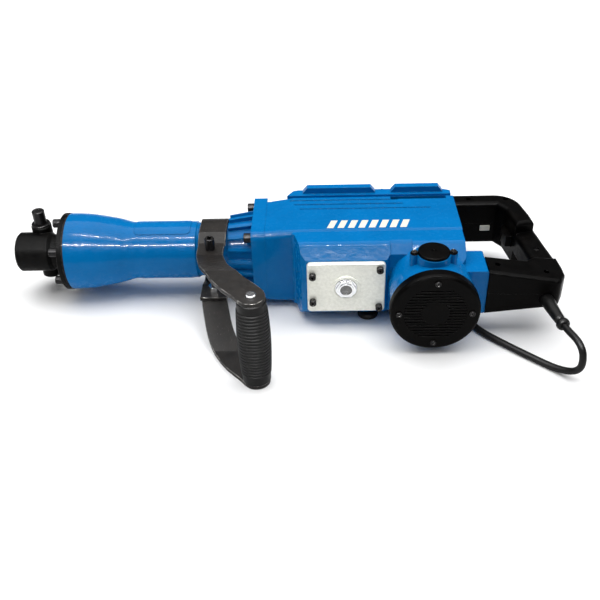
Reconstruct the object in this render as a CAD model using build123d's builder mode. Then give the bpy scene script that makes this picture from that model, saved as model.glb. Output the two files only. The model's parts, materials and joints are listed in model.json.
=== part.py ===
"""Electric demolition hammer lying on its side, built as separate named pieces.

Everything is drawn in machine coordinates, in millimetres: the hammer axis is the X axis, with the tool
socket at -X and the D-handle at +X, +Z is the upper side as the machine lies, and -Y is the side that
carries the motor and the side grip. FRAME_SHIFT then moves each finished piece into the part's own frame,
whose origin is at the centre of the footprint, on the floor.
"""
import os
from math import acos, cos, pi, radians, sin, sqrt, tan

from build123d import *

os.makedirs("parts", exist_ok=True)

# ---- driving dimensions ----------------------------------------------------------------------
GAP = 0.1                      # play between neighbours that don't touch

FLOOR = 64.0                   # the hammer axis is this far above the floor
NOSE_X = -328.0                # front end of the tool socket
REAR_X = 396.0                 # back of the D-handle
FRONT_Y = -218.5               # outer end of the side handle's arms
BACK_Y = 84.0                  # back of the D-handle's upper arm

SHANK_AF = 30.0                # hexagonal tool shank, across flats
FLANGE_R = 53.0                # front flange of the barrel
NECK_R = 39.0                  # barrel behind the flare
BAND_SEAT_R = 36.5             # groove that the side handle's band grips
CYL_BORE_R = 25.0              # air cylinder
CYL_OUT_R = 30.0

CASE_FACE_X = 17.0             # joint between the barrel's rear flange and the main housing
CASE_REAR_X = 272.0
CASE_HALF_Z = 56.0
BOX_FACE = 93.0                # how far the crank box stands out towards -Y
PLATE_T = 5.75

MOTOR_X = 228.5                # motor axis, parallel to Y
MOTOR_R = 53.0
MOTOR_END = 141.0              # where the tail cover meets the motor housing
TAIL_T = 15.0
BRUSH_N = 112.5                # brushes, measured along -Y
BRUSH_TOP = 60.0
CRANK_X = 121.5                # crankshaft axis, parallel to Y
CRANK_THROW = 18.0
ROD_LENGTH = 90.0

# Gear train: (module, teeth) of the two reductions from the armature to the crankshaft.
PRESSURE = radians(20)
ADDENDUM = 0.8                 # of the module; stubbed so that the small pinions aren't undercut
DEDENDUM = 1.2
BACKLASH = 0.12
MOD_1, Z_ARMATURE, Z_FIRST = 1.5, 13, 51
MOD_2, Z_SECOND, Z_CRANK = 2.0, 16, 44
CENTRE_1 = MOD_1 * (Z_ARMATURE + Z_FIRST) / 2
CENTRE_2 = MOD_2 * (Z_SECOND + Z_CRANK) / 2
SHAFT_SPAN = MOTOR_X - CRANK_X
_ALONG = (SHAFT_SPAN**2 + CENTRE_1**2 - CENTRE_2**2) / (2 * SHAFT_SPAN)
IDLER_X = MOTOR_X - _ALONG
IDLER_Z = -sqrt(CENTRE_1**2 - _ALONG**2)

BAND_X = -54.0                 # middle of the side handle's band
BAND_W = 36.0
STRAP_T = 5.0
CLAMP_N = 56.0
GRIP_X, GRIP_N = 10.0, 202.0   # axis of the side grip, parallel to Z
ARM_TOP = 64.0                 # outer face of the side handle's arms
GRIP_END = ARM_TOP - STRAP_T

ARM_HALF_Z = 33.0              # D-handle: half height of its arms
HANDLE_GRIP_HALF_Z = 17.0

CABLE_R = 4.4
PIN_X, PIN_Y = -297.0, 16.0    # tool retaining pin, parallel to Z
PIN_R = 8.4

FRAME_SHIFT = Location((-(NOSE_X + REAR_X) / 2, -(FRONT_Y + BACK_Y) / 2, FLOOR))


def save(piece, name):
    """Moves a finished piece into the part's frame and writes it as one node."""
    placed = piece.part.moved(FRAME_SHIFT)
    placed.label = name
    export_step(placed, f"parts/{name}.step")


def across_x(x):
    """Plane at X = x: local (Y, Z), extrudes towards +X."""
    return Plane.YZ.offset(x)


def facing_front(x):
    """Plane at X = x: local (Y, -Z), extrudes towards -X."""
    return Plane(origin=(x, 0, 0), x_dir=(0, 1, 0), z_dir=(-1, 0, 0))


def facing_motor(n):
    """Plane at Y = -n: local (X, Z), extrudes towards -Y."""
    return Plane.XZ.offset(n)


def about_x():
    """Profile plane for turned pieces on the hammer axis: local (X, radius)."""
    return Plane.XY


def about_y(x, z=0.0):
    """Profile plane for turned pieces on an axis parallel to Y: local (distance along -Y, radius)."""
    return Plane(origin=(x, 0, z), x_dir=(0, -1, 0), z_dir=(0, 0, 1))


def y_axis(x, z=0.0):
    return Axis((x, 0, z), (0, -1, 0))


def turned(plane, axis, points):
    """A solid of revolution from a closed profile of (along, radius) points, as a private object."""
    with BuildPart(mode=Mode.PRIVATE) as body:
        with BuildSketch(plane):
            with BuildLine():
                Polyline(*points, close=True)
            make_face()
        revolve(axis=axis)
    return body.part


def ring_y(x, z, n0, n1, r_in, r_out):
    """A plain ring about an axis parallel to Y, between two distances along -Y."""
    return turned(about_y(x, z), y_axis(x, z), [(n0, r_in), (n1, r_in), (n1, r_out), (n0, r_out)])


def rod_y(x, z, n0, n1, radius):
    """A plain cylinder on an axis parallel to Y."""
    return turned(about_y(x, z), y_axis(x, z), [(n0, 0), (n1, 0), (n1, radius), (n0, radius)])


def socket_screw(plane, places, head_r, head_h, shank_r, length, key_af):
    """Socket-head screws in one node. The head stands on the plane, the shank goes into it."""
    with BuildPart() as screws:
        with BuildSketch(plane):
            with Locations(*places):
                Circle(head_r)
        extrude(amount=head_h)
        chamfer(screws.faces().filter_by(GeomType.PLANE).sort_by(Axis(plane.origin, plane.z_dir))
                [-len(places):].edges(), 0.08 * head_r)
        with BuildSketch(plane.offset(head_h)):
            with Locations(*places):
                RegularPolygon(key_af / 2, 6, major_radius=False)
        extrude(amount=-0.55 * head_h, mode=Mode.SUBTRACT)
        with BuildSketch(plane):
            with Locations(*places):
                Circle(shank_r)
        extrude(amount=-length)
    return screws


# ---- tool socket -----------------------------------------------------------------------------
FLANGE_BOLT_R = 44.5
FLANGE_BOLTS = [
    (FLANGE_BOLT_R * cos(radians(a)), FLANGE_BOLT_R * sin(radians(a))) for a in range(30, 390, 60)
]
CAP_FACE_X = -262.0
GASKET_X = -255.0
BARREL_X = -253.0
SLEEVE_R = 21.5
LEAD_IN_R = 18.0

with BuildPart() as front_cap:
    with BuildSketch(about_x()):
        with BuildLine():
            Polyline((NOSE_X, 0), (NOSE_X, 24.5), (NOSE_X + 2.5, 27), (-284, 27), (-279, 23.5),
                     (CAP_FACE_X - 3, 23.5), (CAP_FACE_X, 26.5), (CAP_FACE_X, FLANGE_R - 0.8),
                     (CAP_FACE_X + 0.8, FLANGE_R), (GASKET_X, FLANGE_R), (GASKET_X, 0), close=True)
        make_face()
    revolve(axis=Axis.X)
    with BuildSketch(Plane.XY.offset(-46)):
        with Locations((PIN_X, PIN_Y)):
            Circle(13.5)
    extrude(amount=46 + 34)
    top_rim = front_cap.faces().filter_by(Axis.Z).sort_by(Axis.Z)
    chamfer([top_rim[0].outer_wire().edges(), top_rim[-1].outer_wire().edges()], 1.2)
    with BuildSketch(across_x(NOSE_X)):
        Circle(SLEEVE_R)
    extrude(amount=GASKET_X - NOSE_X, mode=Mode.SUBTRACT)
    with BuildSketch(Plane.XY.offset(-43)):
        with Locations((PIN_X, PIN_Y)):
            Circle(PIN_R + 0.05)
    extrude(amount=90, mode=Mode.SUBTRACT)
    with BuildSketch(across_x(CAP_FACE_X)):
        with Locations(*FLANGE_BOLTS):
            Circle(4.1)
    extrude(amount=10, mode=Mode.SUBTRACT)
save(front_cap, "front_cap")

with BuildPart() as socket_sleeve:
    with BuildSketch(across_x(NOSE_X + 3)):
        Circle(SLEEVE_R - 0.02)
    extrude(amount=GASKET_X - NOSE_X - 3)
    with BuildSketch(across_x(NOSE_X)):
        RegularPolygon(SHANK_AF / 2 + 0.2, 6, major_radius=False, rotation=30)
    extrude(amount=100, mode=Mode.SUBTRACT)
    with BuildSketch(across_x(NOSE_X)):
        Circle(LEAD_IN_R)
    extrude(amount=13, mode=Mode.SUBTRACT)
    with BuildSketch(Plane.XY.offset(-40)):
        with Locations((PIN_X, PIN_Y)):
            Circle(PIN_R + 0.05)
    extrude(amount=80, mode=Mode.SUBTRACT)
save(socket_sleeve, "socket_sleeve")

with BuildPart() as dust_lip:
    add(turned(about_x(), Axis.X, [(NOSE_X, LEAD_IN_R), (NOSE_X + 3, LEAD_IN_R),
                                   (NOSE_X + 3, SLEEVE_R - 0.02), (NOSE_X, SLEEVE_R - 0.02)]))
save(dust_lip, "dust_lip")

PIN_KNOB_TOP = 56.0
PIN_LOW = -42.5
with BuildPart() as retaining_pin:
    with BuildSketch(Plane.XY.offset(PIN_LOW)):
        with Locations((PIN_X, PIN_Y)):
            Circle(PIN_R)
    extrude(amount=PIN_KNOB_TOP - PIN_LOW)
    crown = retaining_pin.faces().sort_by(Axis.Z)[-1]
    chamfer(crown.edges(), 1.0)
    with BuildSketch(Plane.XY.offset(PIN_KNOB_TOP)):
        with Locations((PIN_X, PIN_Y)):
            Circle(5.2)
    extrude(amount=-1.2, mode=Mode.SUBTRACT)
    # The half-moon cut across the pin frees the shank when the pin is turned half round.
    with BuildSketch(Plane.XY.offset(-18.5)):
        with Locations((PIN_X, PIN_Y + PIN_R / 2 - 0.4)):
            Rectangle(2 * PIN_R + 1, PIN_R + 1)
    extrude(amount=37, mode=Mode.SUBTRACT)
save(retaining_pin, "retaining_pin")

with BuildPart() as pin_collar:
    with BuildSketch(Plane.XY.offset(34)):
        with Locations((PIN_X, PIN_Y)):
            Circle(12.6)
            Circle(PIN_R + 0.06, mode=Mode.SUBTRACT)
    extrude(amount=2.6)
    chamfer(pin_collar.faces().sort_by(Axis.Z)[-1].outer_wire().edges(), 0.6)
save(pin_collar, "pin_collar")

with BuildPart() as front_gasket:
    with BuildSketch(across_x(GASKET_X)):
        Circle(FLANGE_R - 0.6)
        Circle(33, mode=Mode.SUBTRACT)
        with Locations(*FLANGE_BOLTS):
            Circle(4.1, mode=Mode.SUBTRACT)
    extrude(amount=BARREL_X - GASKET_X)
save(front_gasket, "front_gasket")

front_bolts = socket_screw(facing_front(CAP_FACE_X),
                           [(y, -z) for y, z in FLANGE_BOLTS], 6, 11, 3.95, 30, 6)
save(front_bolts, "front_cap_bolts")

# ---- barrel ----------------------------------------------------------------------------------
LIP_X = -77.0
BAND_SEAT = (-74.0, -34.0)
CASE_BOLTS = [(y, z) for y in (-40, 40) for z in (-41, 41)]
RIB_COUNT = 18

with BuildPart() as barrel:
    with BuildSketch(about_x()):
        with BuildLine():
            flare = Spline((BARREL_X, FLANGE_R - 0.4), (-223, 51), (-199, 47), (-180, 42.9), (-163, NECK_R),
                           tangents=[(1, 0.0), (1, -0.04)])
            Polyline(flare @ 1, (LIP_X - 1.5, NECK_R), (LIP_X, NECK_R - 1.5), (BAND_SEAT[0], BAND_SEAT_R),
                     (BAND_SEAT[1], BAND_SEAT_R), (BAND_SEAT[1], 41.5), (-1, 46), (-1, 40), (-1, 0),
                     (BARREL_X, 0), flare @ 0)
        make_face()
    revolve(axis=Axis.X)
    # Cooling ribs round the cone.
    with BuildSketch(about_x()) as rib_side:
        with BuildLine():
            Polyline((BAND_SEAT[1] + 0.5, 38), (BAND_SEAT[1] + 0.5, 46.6), (0, 52.3), (0, 38), close=True)
        make_face()
    rib = extrude(rib_side.sketch, amount=2.4, both=True, mode=Mode.PRIVATE)
    for step in range(RIB_COUNT):
        add(rib.rotate(Axis.X, (step + 0.5) * 360 / RIB_COUNT))
    # Rear flange, bolted to the housing.
    with BuildSketch(across_x(-1)):
        Rectangle(106, 106)
        fillet(vertices(), 10)
    extrude(amount=CASE_FACE_X + 1)
    # Raised pads along the neck, above and below.
    for up in (1, -1):
        with BuildSketch(Plane.XY):
            with Locations((-124, 0)):
                RectangleRounded(76, 36, 6)
        pad = extrude(amount=up * (NECK_R + 0.9), mode=Mode.PRIVATE)
        round_neck = turned(about_x(), Axis.X, [(-163, 30), (-163, 39.9), (-86, 39.9), (-86, 30)])
        add(pad & round_neck)
    # Bore: seat for the impact bolt's guide in front, air cylinder behind.
    with BuildSketch(across_x(BARREL_X)):
        Circle(33)
    extrude(amount=100, mode=Mode.SUBTRACT)
    with BuildSketch(across_x(BARREL_X)):
        Circle(CYL_OUT_R + 0.05)
    extrude(amount=CASE_FACE_X - BARREL_X, mode=Mode.SUBTRACT)
    with BuildSketch(across_x(BARREL_X)):
        with Locations(*FLANGE_BOLTS):
            Circle(4)
    extrude(amount=22, mode=Mode.SUBTRACT)
    with BuildSketch(across_x(0)):
        with Locations(*CASE_BOLTS):
            Circle(8)
    extrude(amount=-40, mode=Mode.SUBTRACT)
    with BuildSketch(across_x(0)):
        with Locations(*CASE_BOLTS):
            Circle(4.1)
    extrude(amount=20, mode=Mode.SUBTRACT)
save(barrel, "barrel")

case_bolts = socket_screw(facing_front(0), [(y, -z) for y, z in CASE_BOLTS],
                          6.5, 11, 3.95, 38, 6)
save(case_bolts, "barrel_bolts")

# ---- hammer mechanism ------------------------------------------------------------------------
GUIDE_R = 33 - 0.02
STEM_R = 13.0
COLLAR_R = 19.0

with BuildPart() as guide_front:
    add(turned(about_x(), Axis.X, [(BARREL_X, STEM_R + 0.05), (-238, STEM_R + 0.05), (-238, GUIDE_R),
                                   (BARREL_X, GUIDE_R)]))
save(guide_front, "guide_front")

with BuildPart() as guide_rear:
    add(turned(about_x(), Axis.X, [(-238 + GAP, COLLAR_R + 0.05), (-200, COLLAR_R + 0.05),
                                   (-200, STEM_R + 0.05), (-153, STEM_R + 0.05), (-153, GUIDE_R),
                                   (-238 + GAP, GUIDE_R)]))
save(guide_rear, "guide_rear")

with BuildPart() as impact_bolt:
    add(turned(about_x(), Axis.X, [(-258, 0), (-258, STEM_R - 1), (-257, STEM_R), (-229, STEM_R),
                                   (-227, COLLAR_R), (-213, COLLAR_R), (-211, STEM_R), (-145, STEM_R),
                                   (-144, STEM_R - 1), (-144, 0)]))
save(impact_bolt, "impact_bolt")

with BuildPart() as air_cylinder:
    add(turned(about_x(), Axis.X, [(-150, CYL_BORE_R), (55, CYL_BORE_R), (55, CYL_OUT_R), (-150, CYL_OUT_R)]))
    with BuildSketch(Plane.XY):
        with Locations((-36, 0)):
            Circle(2)
    extrude(amount=40, mode=Mode.SUBTRACT)
save(air_cylinder, "air_cylinder")

HAMMER_FIT = CYL_BORE_R - 0.04
with BuildPart() as striker:
    add(turned(about_x(), Axis.X, [(-134, 0), (-134, 11), (-133, 12), (-116, 12), (-114, HAMMER_FIT),
                                   (-84, HAMMER_FIT), (-84, 22.5), (-79, 22.5), (-79, HAMMER_FIT),
                                   (-70, HAMMER_FIT), (-70, 14), (-74, 0)]))
save(striker, "striker")

PIN_PISTON_X = CRANK_X - sqrt(ROD_LENGTH**2 - CRANK_THROW**2)
with BuildPart() as piston:
    add(turned(about_x(), Axis.X, [(PIN_PISTON_X - 26, 0), (PIN_PISTON_X - 26, HAMMER_FIT),
                                   (PIN_PISTON_X - 21, HAMMER_FIT), (PIN_PISTON_X - 21, 22.5),
                                   (PIN_PISTON_X - 17, 22.5), (PIN_PISTON_X - 17, HAMMER_FIT),
                                   (PIN_PISTON_X + 9, HAMMER_FIT), (PIN_PISTON_X + 9, 0)]))
    with BuildSketch(Plane.XZ):
        with Locations((PIN_PISTON_X + 12, 0)):
            Rectangle(46, 60)
    extrude(amount=9.5, both=True, mode=Mode.SUBTRACT)
    with BuildSketch(Plane.XZ):
        with Locations((PIN_PISTON_X, 0)):
            Circle(6)
    extrude(amount=30, both=True, mode=Mode.SUBTRACT)
save(piston, "piston")

with BuildPart() as piston_pin:
    with BuildSketch(Plane.XZ):
        with Locations((PIN_PISTON_X, 0)):
            Circle(5.98)
    extrude(amount=23, both=True)
save(piston_pin, "piston_pin")

CRANK_PIN = (CRANK_X, CRANK_THROW)
with BuildPart() as connecting_rod:
    with BuildSketch(Plane.XZ):
        with Locations((PIN_PISTON_X, 0)):
            Circle(10)
        with Locations(CRANK_PIN):
            Circle(13)
        make_hull()
    extrude(amount=5, both=True)
    with BuildSketch(Plane.XZ):
        with Locations((PIN_PISTON_X, 0)):
            Circle(10)
        with Locations(CRANK_PIN):
            Circle(13)
    extrude(amount=9, both=True)
    with BuildSketch(Plane.XZ):
        with Locations((PIN_PISTON_X, 0)):
            Circle(6.05)
        with Locations(CRANK_PIN):
            Circle(8.05)
    extrude(amount=20, both=True, mode=Mode.SUBTRACT)
save(connecting_rod, "connecting_rod")


# ---- gears -----------------------------------------------------------------------------------
def involute_gear(module, teeth, turn):
    """A spur gear's face on the current sketch. One tooth lies at the angle turn, in radians."""
    pitch = module * teeth / 2
    base = pitch * cos(PRESSURE)
    tip = pitch + ADDENDUM * module
    root = pitch - DEDENDUM * module
    half = (pi * module / 2 - BACKLASH) / 2 / pitch + tan(PRESSURE) - PRESSURE

    def flank(radius, side):
        alpha = acos(min(1, base / radius))
        angle = turn + side * (half - (tan(alpha) - alpha))
        return radius * cos(angle), radius * sin(angle)

    start = max(base, root + 0.05)
    radii = [start + (tip - start) * k / 5 for k in range(6)]
    Circle(root + 0.1)
    with BuildSketch(mode=Mode.PRIVATE) as tooth:
        with BuildLine():
            rising = Spline(*[flank(r, -1) for r in radii])
            falling = Spline(*[flank(r, 1) for r in reversed(radii)])
            foot_a = (0.96 * root * cos(turn + half), 0.96 * root * sin(turn + half))
            foot_b = (0.96 * root * cos(turn - half), 0.96 * root * sin(turn - half))
            Line(rising @ 1, falling @ 0)
            Polyline(falling @ 1, foot_a, foot_b, rising @ 0)
        make_face()
    add([tooth.sketch.rotate(Axis.Z, 360 * k / teeth) for k in range(teeth)])


def mesh_turn(own_teeth, other_teeth, other_turn, direction):
    """Tooth angle of a gear whose partner, seen along direction (radians), has a tooth at other_turn."""
    facing = direction + pi
    pitch_other = 2 * pi / other_teeth
    pitch_own = 2 * pi / own_teeth
    lead = ((direction - other_turn) / pitch_other) % 1.0
    return facing + (lead + 0.5) * pitch_own


TOWARDS_IDLER = pi + acos((MOTOR_X - IDLER_X) / CENTRE_1)
FROM_IDLER_TO_CRANK = pi - acos((IDLER_X - CRANK_X) / CENTRE_2)
TURN_ARMATURE = 0.0
TURN_FIRST = mesh_turn(Z_FIRST, Z_ARMATURE, TURN_ARMATURE, TOWARDS_IDLER)
TURN_SECOND = 0.0
TURN_CRANK = mesh_turn(Z_CRANK, Z_SECOND, TURN_SECOND, FROM_IDLER_TO_CRANK)

with BuildPart() as crankshaft:
    with BuildSketch(facing_motor(14)):
        with Locations((CRANK_X, 0)):
            involute_gear(MOD_2, Z_CRANK, TURN_CRANK)
    extrude(amount=14)
    add(rod_y(CRANK_X, 0, 28, 44, 15))
    add(rod_y(CRANK_X, 0, 44, 59, 12.48))
    add(rod_y(CRANK_X, 0, 59, 74, 14))
    add(rod_y(CRANK_X, 0, 74, 88, 9.98))
    add(rod_y(*CRANK_PIN, 10, 14, 12))
    add(rod_y(*CRANK_PIN, 9.3, 14, 8))
save(crankshaft, "crankshaft")

with BuildPart() as idler_gears:
    with BuildSketch(facing_motor(31)):
        with Locations((IDLER_X, IDLER_Z)):
            involute_gear(MOD_1, Z_FIRST, TURN_FIRST)
    extrude(amount=9)
    with BuildSketch(facing_motor(13)):
        with Locations((IDLER_X, IDLER_Z)):
            involute_gear(MOD_2, Z_SECOND, TURN_SECOND)
    extrude(amount=18)
    add(rod_y(IDLER_X, IDLER_Z, 3, 13, 3.95))
    add(rod_y(IDLER_X, IDLER_Z, 40, 52, 3.95))
save(idler_gears, "idler_gears")

ROTOR = (72, 98)
with BuildPart() as armature_shaft:
    with BuildSketch(facing_motor(30)):
        with Locations((MOTOR_X, 0)):
            involute_gear(MOD_1, Z_ARMATURE, TURN_ARMATURE)
    extrude(amount=11)
    add(rod_y(MOTOR_X, 0, 41, 44, 7))
    add(rod_y(MOTOR_X, 0, 44, 54, 5.98))
    add(rod_y(MOTOR_X, 0, 54, 125, 7))
    add(rod_y(MOTOR_X, 0, 125, 136, 3.98))
save(armature_shaft, "armature_shaft")

with BuildPart() as rotor_core:
    with BuildSketch(facing_motor(ROTOR[0])):
        with Locations((MOTOR_X, 0)):
            Circle(23)
            Circle(7, mode=Mode.SUBTRACT)
            with PolarLocations(21.5, 12):
                Rectangle(4.5, 2, mode=Mode.SUBTRACT)
    extrude(amount=ROTOR[1] - ROTOR[0])
save(rotor_core, "rotor_core")

with BuildPart() as rotor_windings:
    for n0, n1 in ((66, ROTOR[0]), (ROTOR[1], 104)):
        add(ring_y(MOTOR_X, 0, n0, n1, 7, 20))
save(rotor_windings, "rotor_windings")

with BuildPart() as commutator:
    with BuildSketch(facing_motor(105)):
        with Locations((MOTOR_X, 0)):
            Circle(15)
            Circle(7, mode=Mode.SUBTRACT)
            with PolarLocations(14.4, 24):
                Rectangle(1.4, 0.5, mode=Mode.SUBTRACT)
    extrude(amount=15)
save(commutator, "commutator")

with BuildPart() as cooling_fan:
    add(ring_y(MOTOR_X, 0, 56, 63, 7, 13))
    add(ring_y(MOTOR_X, 0, 56, 58, 13, 40))
    with BuildSketch(facing_motor(58)):
        with Locations((MOTOR_X, 0)):
            with PolarLocations(26, 11):
                Rectangle(26, 1.8, rotation=18)
    extrude(amount=5)
save(cooling_fan, "cooling_fan")

FIELD_R = 47.9
with BuildPart() as stator_core:
    with BuildSketch(facing_motor(ROTOR[0] - 2)):
        with Locations((MOTOR_X, 0)):
            Circle(FIELD_R)
            Circle(38, mode=Mode.SUBTRACT)
        with Locations((MOTOR_X, 31), (MOTOR_X, -31)):
            Rectangle(30, 16)
        with Locations((MOTOR_X, 0)):
            Circle(23.9, mode=Mode.SUBTRACT)
    extrude(amount=ROTOR[1] - ROTOR[0] + 4)
save(stator_core, "stator_core")

with BuildPart() as field_coils:
    for n0, n1 in ((65, ROTOR[0] - 2), (ROTOR[1] + 2, 104)):
        with BuildSketch(facing_motor(n0)):
            with Locations((MOTOR_X, 0)):
                Circle(37.5)
                Circle(25, mode=Mode.SUBTRACT)
                Rectangle(18, 100, mode=Mode.SUBTRACT)
        extrude(amount=n1 - n0)
save(field_coils, "field_coils")

BEARINGS = [
    (MOTOR_X, 0, 44, 54, 6, 14), (MOTOR_X, 0, 126, 135, 4, 11),
    (IDLER_X, IDLER_Z, 3, 10, 4, 11), (IDLER_X, IDLER_Z, 44, 51, 4, 11),
    (CRANK_X, 0, 44, 59, 12.5, 26), (CRANK_X, 0, 74, 88, 10, 23.5),
]
with BuildPart() as ball_bearings:
    for x, z, n0, n1, r_in, r_out in BEARINGS:
        add(ring_y(x, z, n0, n1, r_in, r_out - 0.03))
        groove = ring_y(x, z, n0 - 1, n0 + 0.8, r_in + 0.3 * (r_out - r_in), r_out - 0.3 * (r_out - r_in))
        add(groove, mode=Mode.SUBTRACT)
save(ball_bearings, "ball_bearings")

# ---- motor and gear housing ------------------------------------------------------------------
COVER_SCREWS = [(78.8, 20), (78.8, -20), (164, 29), (164, -29)]
BACK_SCREWS = [(58, 43), (58, -43), (177, 47), (177, -47), (259, 44), (259, -44)]
TAIL_R = 44.5
TAIL_SCREWS = [(MOTOR_X, TAIL_R), (MOTOR_X, -TAIL_R), (MOTOR_X - TAIL_R, 0), (MOTOR_X + TAIL_R, 0)]
BRUSH_X = MOTOR_X - 1
BRUSH_EARS = [(BRUSH_X - 23.6, -BRUSH_N), (BRUSH_X + 23.6, -BRUSH_N)]


def side_box(outline, corner_r, slope_n, reach, face_half):
    """A box towards the motor side: its plan in (X, Y), cut to a side view that is flat as far as slope_n
    and then rolls over to the outer face, which is face_half above and below the axis."""
    with BuildPart(mode=Mode.PRIVATE) as box:
        with BuildSketch(Plane.XY):
            with BuildLine():
                Polyline(*outline, close=True)
            make_face()
            fillet(vertices(), corner_r)
        extrude(amount=CASE_HALF_Z, both=True)
        with BuildSketch(across_x(30)):
            with BuildLine():
                half = [(-20, 54.5), (-slope_n, 54.5), (-reach, face_half)]
                Polyline(*half, *[(y, -z) for y, z in reversed(half)], close=True)
            make_face()
            fillet(vertices().group_by(Axis.X)[1], 12)
        extrude(amount=CASE_REAR_X - 20, mode=Mode.INTERSECT)
    return box.part


BOX_REACH = BOX_FACE - 0.05
CAVITY_X = (47, 266)
CRANK_BOX = [(44, -50), (56, -56), (64, -86), (70, -BOX_REACH), (173.5, -BOX_REACH), (178, -86), (178, -44)]
BOX_BRIDGE = [(160, -40), (160, -88), (216, -88), (216, -40)]
MOTOR_BOX = [(205, -40), (205, -99), (211, -106), (262, -106), (271.5, -95), (271.5, -40)]


with BuildPart() as main_housing:
    with BuildSketch(across_x(CASE_FACE_X)):
        with Locations((-6.5, 0)):
            RectangleRounded(93, 107, 9)
    with BuildSketch(across_x(54)):
        with Locations((-3.5, 0)):
            RectangleRounded(99, 2 * CASE_HALF_Z, 9)
    loft()
    with BuildSketch(across_x(54)):
        with Locations((-3.5, 0)):
            RectangleRounded(99, 2 * CASE_HALF_Z, 9)
    extrude(amount=CASE_REAR_X - 54)
    add(side_box(CRANK_BOX, 3, 77, BOX_REACH, 38))
    add(side_box(BOX_BRIDGE, 3, 74, 88, 43))
    add(side_box(MOTOR_BOX, 4, 77, 106, 33))
    add(rod_y(MOTOR_X, 0, 10, MOTOR_END, MOTOR_R - 0.5))
    with BuildSketch(facing_motor(65)):
        with Locations((280, 0)):
            RectangleRounded(36, 64, 3)
    extrude(amount=113 - 65)
    # Brush bosses, above and below.
    for up in (1, -1):
        with BuildSketch(Plane.XY.offset(up * 40)):
            with Locations((BRUSH_X, -BRUSH_N)):
                Circle(21)
            with Locations(*BRUSH_EARS):
                Circle(5.6)
        extrude(amount=up * (BRUSH_TOP - 40))
    # Cavities: gears and rod, crank bearings, motor.
    with BuildSketch(facing_motor(-47)):
        with Locations(((CAVITY_X[0] + CAVITY_X[1]) / 2, 0)):
            RectangleRounded(CAVITY_X[1] - CAVITY_X[0], 100, 8)
    extrude(amount=47 + 42, mode=Mode.SUBTRACT)
    with BuildSketch(facing_motor(41)):
        with Locations((134, 0)):
            Rectangle(132, 88)
    extrude(amount=74 - 41, mode=Mode.SUBTRACT)
    with BuildSketch(facing_motor(41)):
        with Locations((MOTOR_X, 0)):
            Circle(48)
    extrude(amount=MOTOR_END - 41 + 1, mode=Mode.SUBTRACT)
    with BuildSketch(facing_motor(60)):
        with Locations((CRANK_X, 0)):
            Circle(23.5)
    extrude(amount=40, mode=Mode.SUBTRACT)
    with BuildSketch(across_x(CASE_FACE_X - 1)):
        Circle(CYL_OUT_R + 0.05)
    extrude(amount=CAVITY_X[0] - CASE_FACE_X + 3, mode=Mode.SUBTRACT)
    for up in (1, -1):
        with BuildSketch(Plane.XY.offset(up * 40)):
            with Locations((BRUSH_X, -BRUSH_N)):
                Circle(14)
        extrude(amount=up * 21, mode=Mode.SUBTRACT)
    # Long air slots near the back, and three shallow lines beside them.
    for up in (1, -1):
        with BuildSketch(Plane.XY.offset(up * 45)):
            with Locations((224, 36)):
                RectangleRounded(76, 8, 2)
        extrude(amount=up * 15, mode=Mode.SUBTRACT)
        with BuildSketch(Plane.XY.offset(up * (CASE_HALF_Z - 1.2))):
            with Locations((122, 31.5), (128, 20)):
                RectangleRounded(148, 2, 0.9)
            with Locations((150, 8)):
                RectangleRounded(176, 1.6, 0.7)
        extrude(amount=up * 5, mode=Mode.SUBTRACT)
    # Bosses and holes for the screws of the back cover, the tail cover, the brush covers and the plate.
    for x, z in BACK_SCREWS:
        add(rod_y(x, z, -46, -22, 6))
    for x, z in TAIL_SCREWS:
        add(rod_y(x, z, 126, MOTOR_END, 4.5))
    for x, z in BACK_SCREWS:
        add(rod_y(x, z, -48, -30, 2.6), mode=Mode.SUBTRACT)
    for x, z in TAIL_SCREWS:
        add(rod_y(x, z, 127, MOTOR_END + 1, 2.1), mode=Mode.SUBTRACT)
    for x, z in COVER_SCREWS:
        add(rod_y(x, z, 80, 94, 2.6), mode=Mode.SUBTRACT)
    for up in (1, -1):
        with BuildSketch(Plane.XY.offset(up * BRUSH_TOP)):
            with Locations(*BRUSH_EARS):
                Circle(2.1)
        extrude(amount=-up * 15, mode=Mode.SUBTRACT)
    # Bolt holes for the barrel.
    with BuildSketch(across_x(CASE_FACE_X - 1)):
        with Locations(*CASE_BOLTS):
            Circle(4.0)
    extrude(amount=24, mode=Mode.SUBTRACT)
save(main_housing, "main_housing")

with BuildPart() as bearing_plate:
    with BuildSketch(facing_motor(44)):
        with Locations((134, 0)):
            Rectangle(131.8, 87.8)
        with Locations((MOTOR_X, 0)):
            Circle(47.9)
        for x, z, n0, n1, r_in, r_out in BEARINGS:
            if n0 == 44:
                with Locations((x, z)):
                    Circle(r_out, mode=Mode.SUBTRACT)
    extrude(amount=10)
save(bearing_plate, "bearing_plate")

with BuildPart() as inner_plate:
    with BuildSketch(facing_motor(2)):
        with Locations((144, 0)):
            RectangleRounded(243.8, 99.8, 8)
        with Locations((90, 0)):
            Rectangle(140, 110, mode=Mode.SUBTRACT)
        with Locations((IDLER_X, IDLER_Z)):
            Circle(11, mode=Mode.SUBTRACT)
    extrude(amount=8)
save(inner_plate, "inner_plate")

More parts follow.
